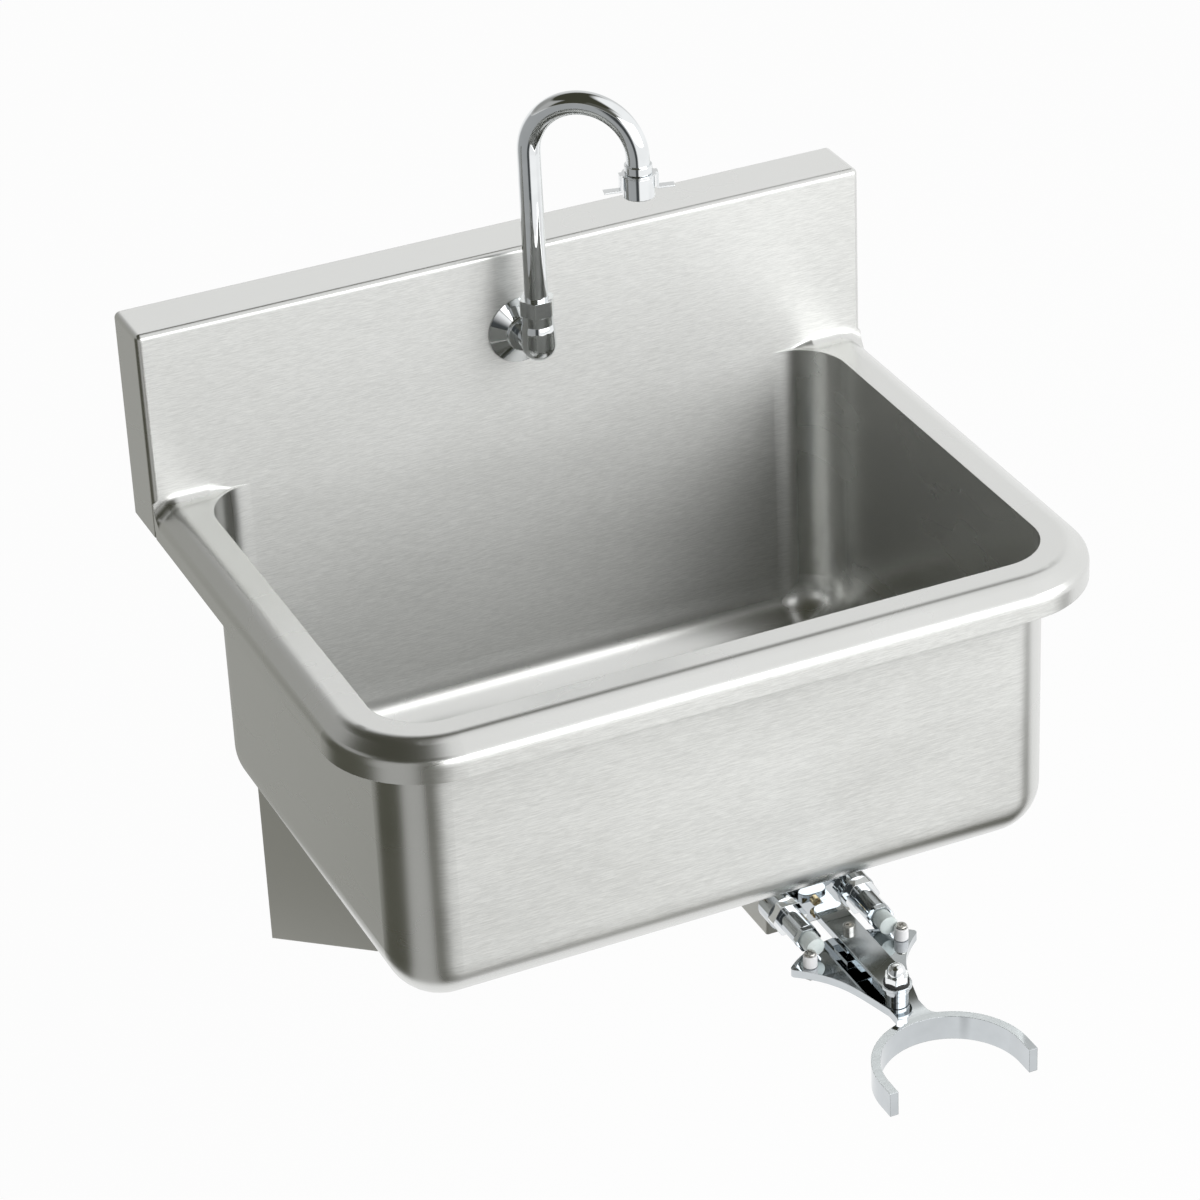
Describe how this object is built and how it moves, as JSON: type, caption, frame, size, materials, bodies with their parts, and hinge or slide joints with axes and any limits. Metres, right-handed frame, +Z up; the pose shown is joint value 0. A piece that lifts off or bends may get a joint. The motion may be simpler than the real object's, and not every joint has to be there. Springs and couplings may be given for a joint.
{
  "type": "wall-mounted hand sink with knee-operated valve",
  "caption": "Wall-hung stainless hand sink: deep rounded bowl, rolled rim and backsplash, swivelling gooseneck spout, knee fork that works a mixing valve under the bowl.",
  "frame": {"origin": "on the wall's face, at the centre of the wall hanger's row of screw slots", "axes": "+X to the right of a person at the sink, +Y into the wall, +Z up"},
  "size_m": [0.635, 0.6395, 0.78],
  "materials": {
    "stainless": "satin, fine lengthwise grain",
    "bracket_steel": "satin",
    "chrome": "bright",
    "satin_chrome": "soft bright",
    "brass": "plain turned",
    "screw_steel": "plain",
    "nylon": "smooth",
    "frosted_cap": "frosted",
    "rubber": "matte"
  },
  "bodies": {
    "sink_body": {"sink_shell": "stainless", "wall_hanger": "bracket_steel", "support_bracket_left": "bracket_steel", "support_bracket_right": "bracket_steel", "stud_nuts": "screw_steel", "drain_strainer": "satin_chrome", "drain_grid": "satin_chrome", "drain_gasket": "rubber", "drain_locknut": "brass", "tailpiece": "chrome", "slip_washer": "rubber", "slip_nut": "chrome", "escutcheon": "chrome", "faucet_elbow": "chrome", "o_rings": "rubber", "shank_washer": "brass", "shank_nut": "brass", "swivel_nut": "chrome", "valve_plate": "bracket_steel", "valve_body": "satin_chrome", "valve_screws": "screw_steel", "block_screws": "brass", "bonnet_nuts": "chrome", "cartridge_housing_left": "satin_chrome", "cartridge_housing_right": "satin_chrome", "return_spring_left": "screw_steel", "return_spring_right": "screw_steel", "valve_arm": "satin_chrome", "stop_screw": "screw_steel", "pivot_washer": "rubber", "acorn_nut": "chrome", "pivot_bolt": "chrome"},
    "spout_body": {"spout": "chrome", "outlet_collar": "chrome", "outlet_head": "chrome", "flow_insert": "nylon"},
    "selector_body": {"selector_ring": "chrome"},
    "fork_body": {"knee_fork": "satin_chrome", "fork_bush": "brass", "roller_screws": "screw_steel", "roller_nuts": "screw_steel"},
    "roller_left_body": {"roller_left": "nylon"},
    "roller_right_body": {"roller_right": "nylon"},
    "plunger_left_body": {"plunger_left": "screw_steel", "plunger_cap_left": "frosted_cap"},
    "plunger_right_body": {"plunger_right": "screw_steel", "plunger_cap_right": "frosted_cap"}
  },
  "joints": [
    {"name": "spout_swivel", "type": "hinge", "parent": "sink_body", "child": "spout_body", "pos_m": [0.007, -0.088, -0.011], "axis": [0, 0, 1], "range_deg": [-160, 60]},
    {"name": "selector_turn", "type": "hinge", "parent": "spout_body", "child": "selector_body", "pos_m": [0.0751, -0.14514, 0.1172], "axis": [0, 0, 1], "range_deg": [-30, 60]},
    {"name": "fork_swing", "type": "hinge", "parent": "sink_body", "child": "fork_body", "pos_m": [0.095, -0.5305, -0.433], "axis": [0, 0, 1], "range_deg": [-6, 6], "stiffness_Nm_per_rad": 6},
    {"name": "roller_left_spin", "type": "hinge", "parent": "fork_body", "child": "roller_left_body", "pos_m": [0.0545, -0.4625, -0.428], "axis": [0, 0, 1], "continuous": true},
    {"name": "roller_right_spin", "type": "hinge", "parent": "fork_body", "child": "roller_right_body", "pos_m": [0.1355, -0.4625, -0.428], "axis": [0, 0, 1], "continuous": true},
    {"name": "plunger_left_slide", "type": "slide", "parent": "sink_body", "child": "plunger_left_body", "axis": [0, 1, 0], "range_m": [-0.0065, 0.0065], "deforming": ["return_spring_left"]},
    {"name": "plunger_right_slide", "type": "slide", "parent": "sink_body", "child": "plunger_right_body", "axis": [0, 1, 0], "range_m": [-0.0065, 0.0065], "deforming": ["return_spring_right"]}
  ],
  "couplings": [
    {"joint": "plunger_left_slide", "follows": "fork_swing", "m_per_rad": -0.060893},
    {"joint": "plunger_right_slide", "follows": "fork_swing", "m_per_rad": 0.060893}
  ]
}
